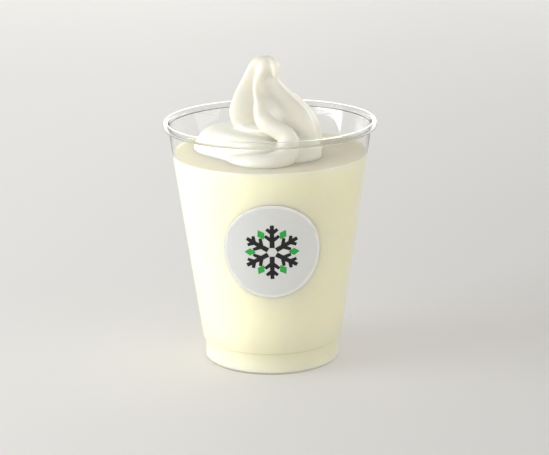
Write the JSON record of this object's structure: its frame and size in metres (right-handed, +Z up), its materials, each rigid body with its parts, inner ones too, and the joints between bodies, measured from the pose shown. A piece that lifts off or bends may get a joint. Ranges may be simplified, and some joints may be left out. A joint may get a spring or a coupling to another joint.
{
  "type": "soft serve cup",
  "caption": "Clear tapered plastic cup of milk with a ridged soft serve swirl standing in it and a round label on the front wall.",
  "frame": {"origin": "centre of the cup's base, at the plane it stands on", "axes": "+Z up along the cup's axis, the label faces -Y"},
  "size_m": [0.098, 0.098, 0.1428],
  "materials": {
    "cup": "clear plastic, glossy",
    "milk_drink": "milk, glossy",
    "soft_serve_swirl": "soft serve, satin",
    "round_label": "paper film, satin"
  },
  "bodies": {
    "root": {"cup": "cup", "milk_drink": "milk_drink", "soft_serve_swirl": "soft_serve_swirl", "round_label": "round_label"}
  },
  "joints": []
}
